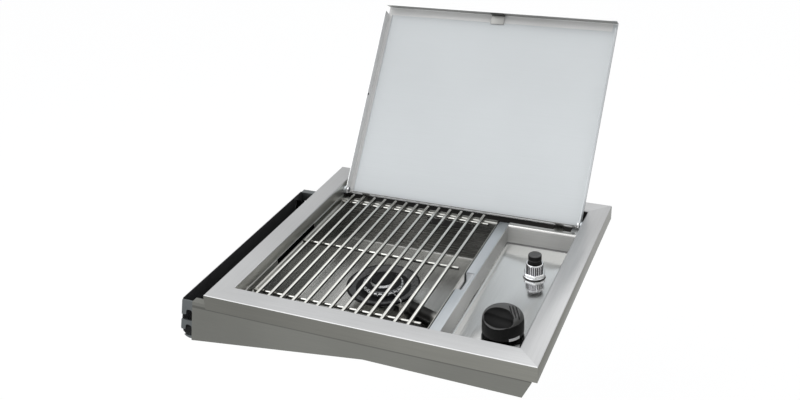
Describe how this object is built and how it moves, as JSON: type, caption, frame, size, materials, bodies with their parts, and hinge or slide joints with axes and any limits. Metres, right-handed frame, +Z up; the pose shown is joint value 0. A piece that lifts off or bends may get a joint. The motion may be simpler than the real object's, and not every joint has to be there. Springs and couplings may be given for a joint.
{
  "type": "built in side burner",
  "caption": "Side burner deck for an outdoor kitchen: stainless frame with rod grate, ring burner, recessed control tray with gas knob and igniter, and a fold-back lid.",
  "frame": {"origin": "middle of the sloping left end wall that rests against the grill cart, 36 mm below the top face of the frame", "axes": "+X to the right along the front edge, +Y to the back, +Z up; the lid stands open"},
  "size_m": [0.4432, 0.5014, 0.3096],
  "materials": {
    "frame_steel": "fine brushed stainless, bright",
    "panel_steel": "brushed stainless, warm grey",
    "polished_steel": "bright annealed stainless",
    "zinc_plate": "bright zinc plated sheet, bluish",
    "liner_steel": "pale satin sheet",
    "chrome": "bright chrome",
    "brass": "machined brass",
    "burner_steel": "plain spring and burner steel",
    "black_paint": "satin black paint",
    "black_enamel": "black enamel on cast iron",
    "black_plastic": "moulded, fine satin",
    "white_plastic": "plain white inlay",
    "ceramic": "glazed ceramic"
  },
  "bodies": {
    "root": {"top_frame": "frame_steel", "front_panel": "panel_steel", "rear_panel": "panel_steel", "right_panel": "panel_steel", "left_rear_panel": "panel_steel", "end_channel": "black_paint", "hook_bracket_front": "zinc_plate", "hook_bracket_rear": "zinc_plate", "burner_pan": "panel_steel", "divider_plate": "zinc_plate", "control_tray": "polished_steel", "rear_strap_1": "polished_steel", "rear_strap_2": "polished_steel", "rear_strap_3": "polished_steel", "grate_rod_01": "polished_steel", "grate_rod_02": "polished_steel", "grate_rod_03": "polished_steel", "grate_rod_04": "polished_steel", "grate_rod_05": "polished_steel", "grate_rod_06": "polished_steel", "grate_rod_07": "polished_steel", "grate_rod_08": "polished_steel", "grate_rod_09": "polished_steel", "grate_rod_10": "polished_steel", "grate_rod_11": "polished_steel", "grate_rod_12": "polished_steel", "grate_rod_13": "polished_steel", "grate_bar_1": "polished_steel", "grate_bar_2": "polished_steel", "grate_bar_3": "polished_steel", "burner_body": "black_enamel", "burner_dish": "black_enamel", "burner_ring": "burner_steel", "burner_cap": "black_enamel", "air_shutter": "zinc_plate", "valve_body": "brass", "gas_jet": "brass", "gas_inlet": "brass", "knob_spring": "burner_steel", "igniter_body": "black_plastic", "igniter_flange": "chrome", "igniter_collar": "chrome", "igniter_spring": "burner_steel", "electrode_ceramic": "ceramic", "electrode_wire": "burner_steel", "hinge_pin_left": "chrome", "hinge_spacer_left": "zinc_plate", "hinge_nut_left": "zinc_plate", "hinge_pin_right": "chrome", "hinge_spacer_right": "zinc_plate", "hinge_nut_right": "zinc_plate"},
    "lid": {"lid_skin": "frame_steel", "lid_liner": "liner_steel", "lid_clip": "zinc_plate"},
    "knob_carrier": {"spring_collar": "zinc_plate"},
    "knob": {"knob": "black_plastic", "knob_pointer": "white_plastic", "valve_stem": "brass"},
    "ignition_button": {"igniter_button": "black_plastic"}
  },
  "joints": [
    {"name": "lid_hinge", "type": "hinge", "parent": "root", "child": "lid", "pos_m": [0.23871, 0.16745, 0.0257], "axis": [1, 0, 0], "range_deg": [0, 128.2]},
    {"name": "knob_push", "type": "slide", "parent": "root", "child": "knob_carrier", "axis": [0, 0, -1], "range_m": [0, 0.002], "stiffness_N_per_m": 1500, "springref_m": -0.003, "deforming": ["knob_spring"]},
    {"name": "knob_turn", "type": "hinge", "parent": "knob_carrier", "child": "knob", "pos_m": [0.36861, -0.04255, -0.009], "axis": [0, 0, 1], "range_deg": [0, 240]},
    {"name": "button_press", "type": "slide", "parent": "root", "child": "ignition_button", "axis": [0, 0, -1], "range_m": [0, 0.005], "stiffness_N_per_m": 1200, "springref_m": -0.004, "deforming": ["igniter_spring"]}
  ]
}
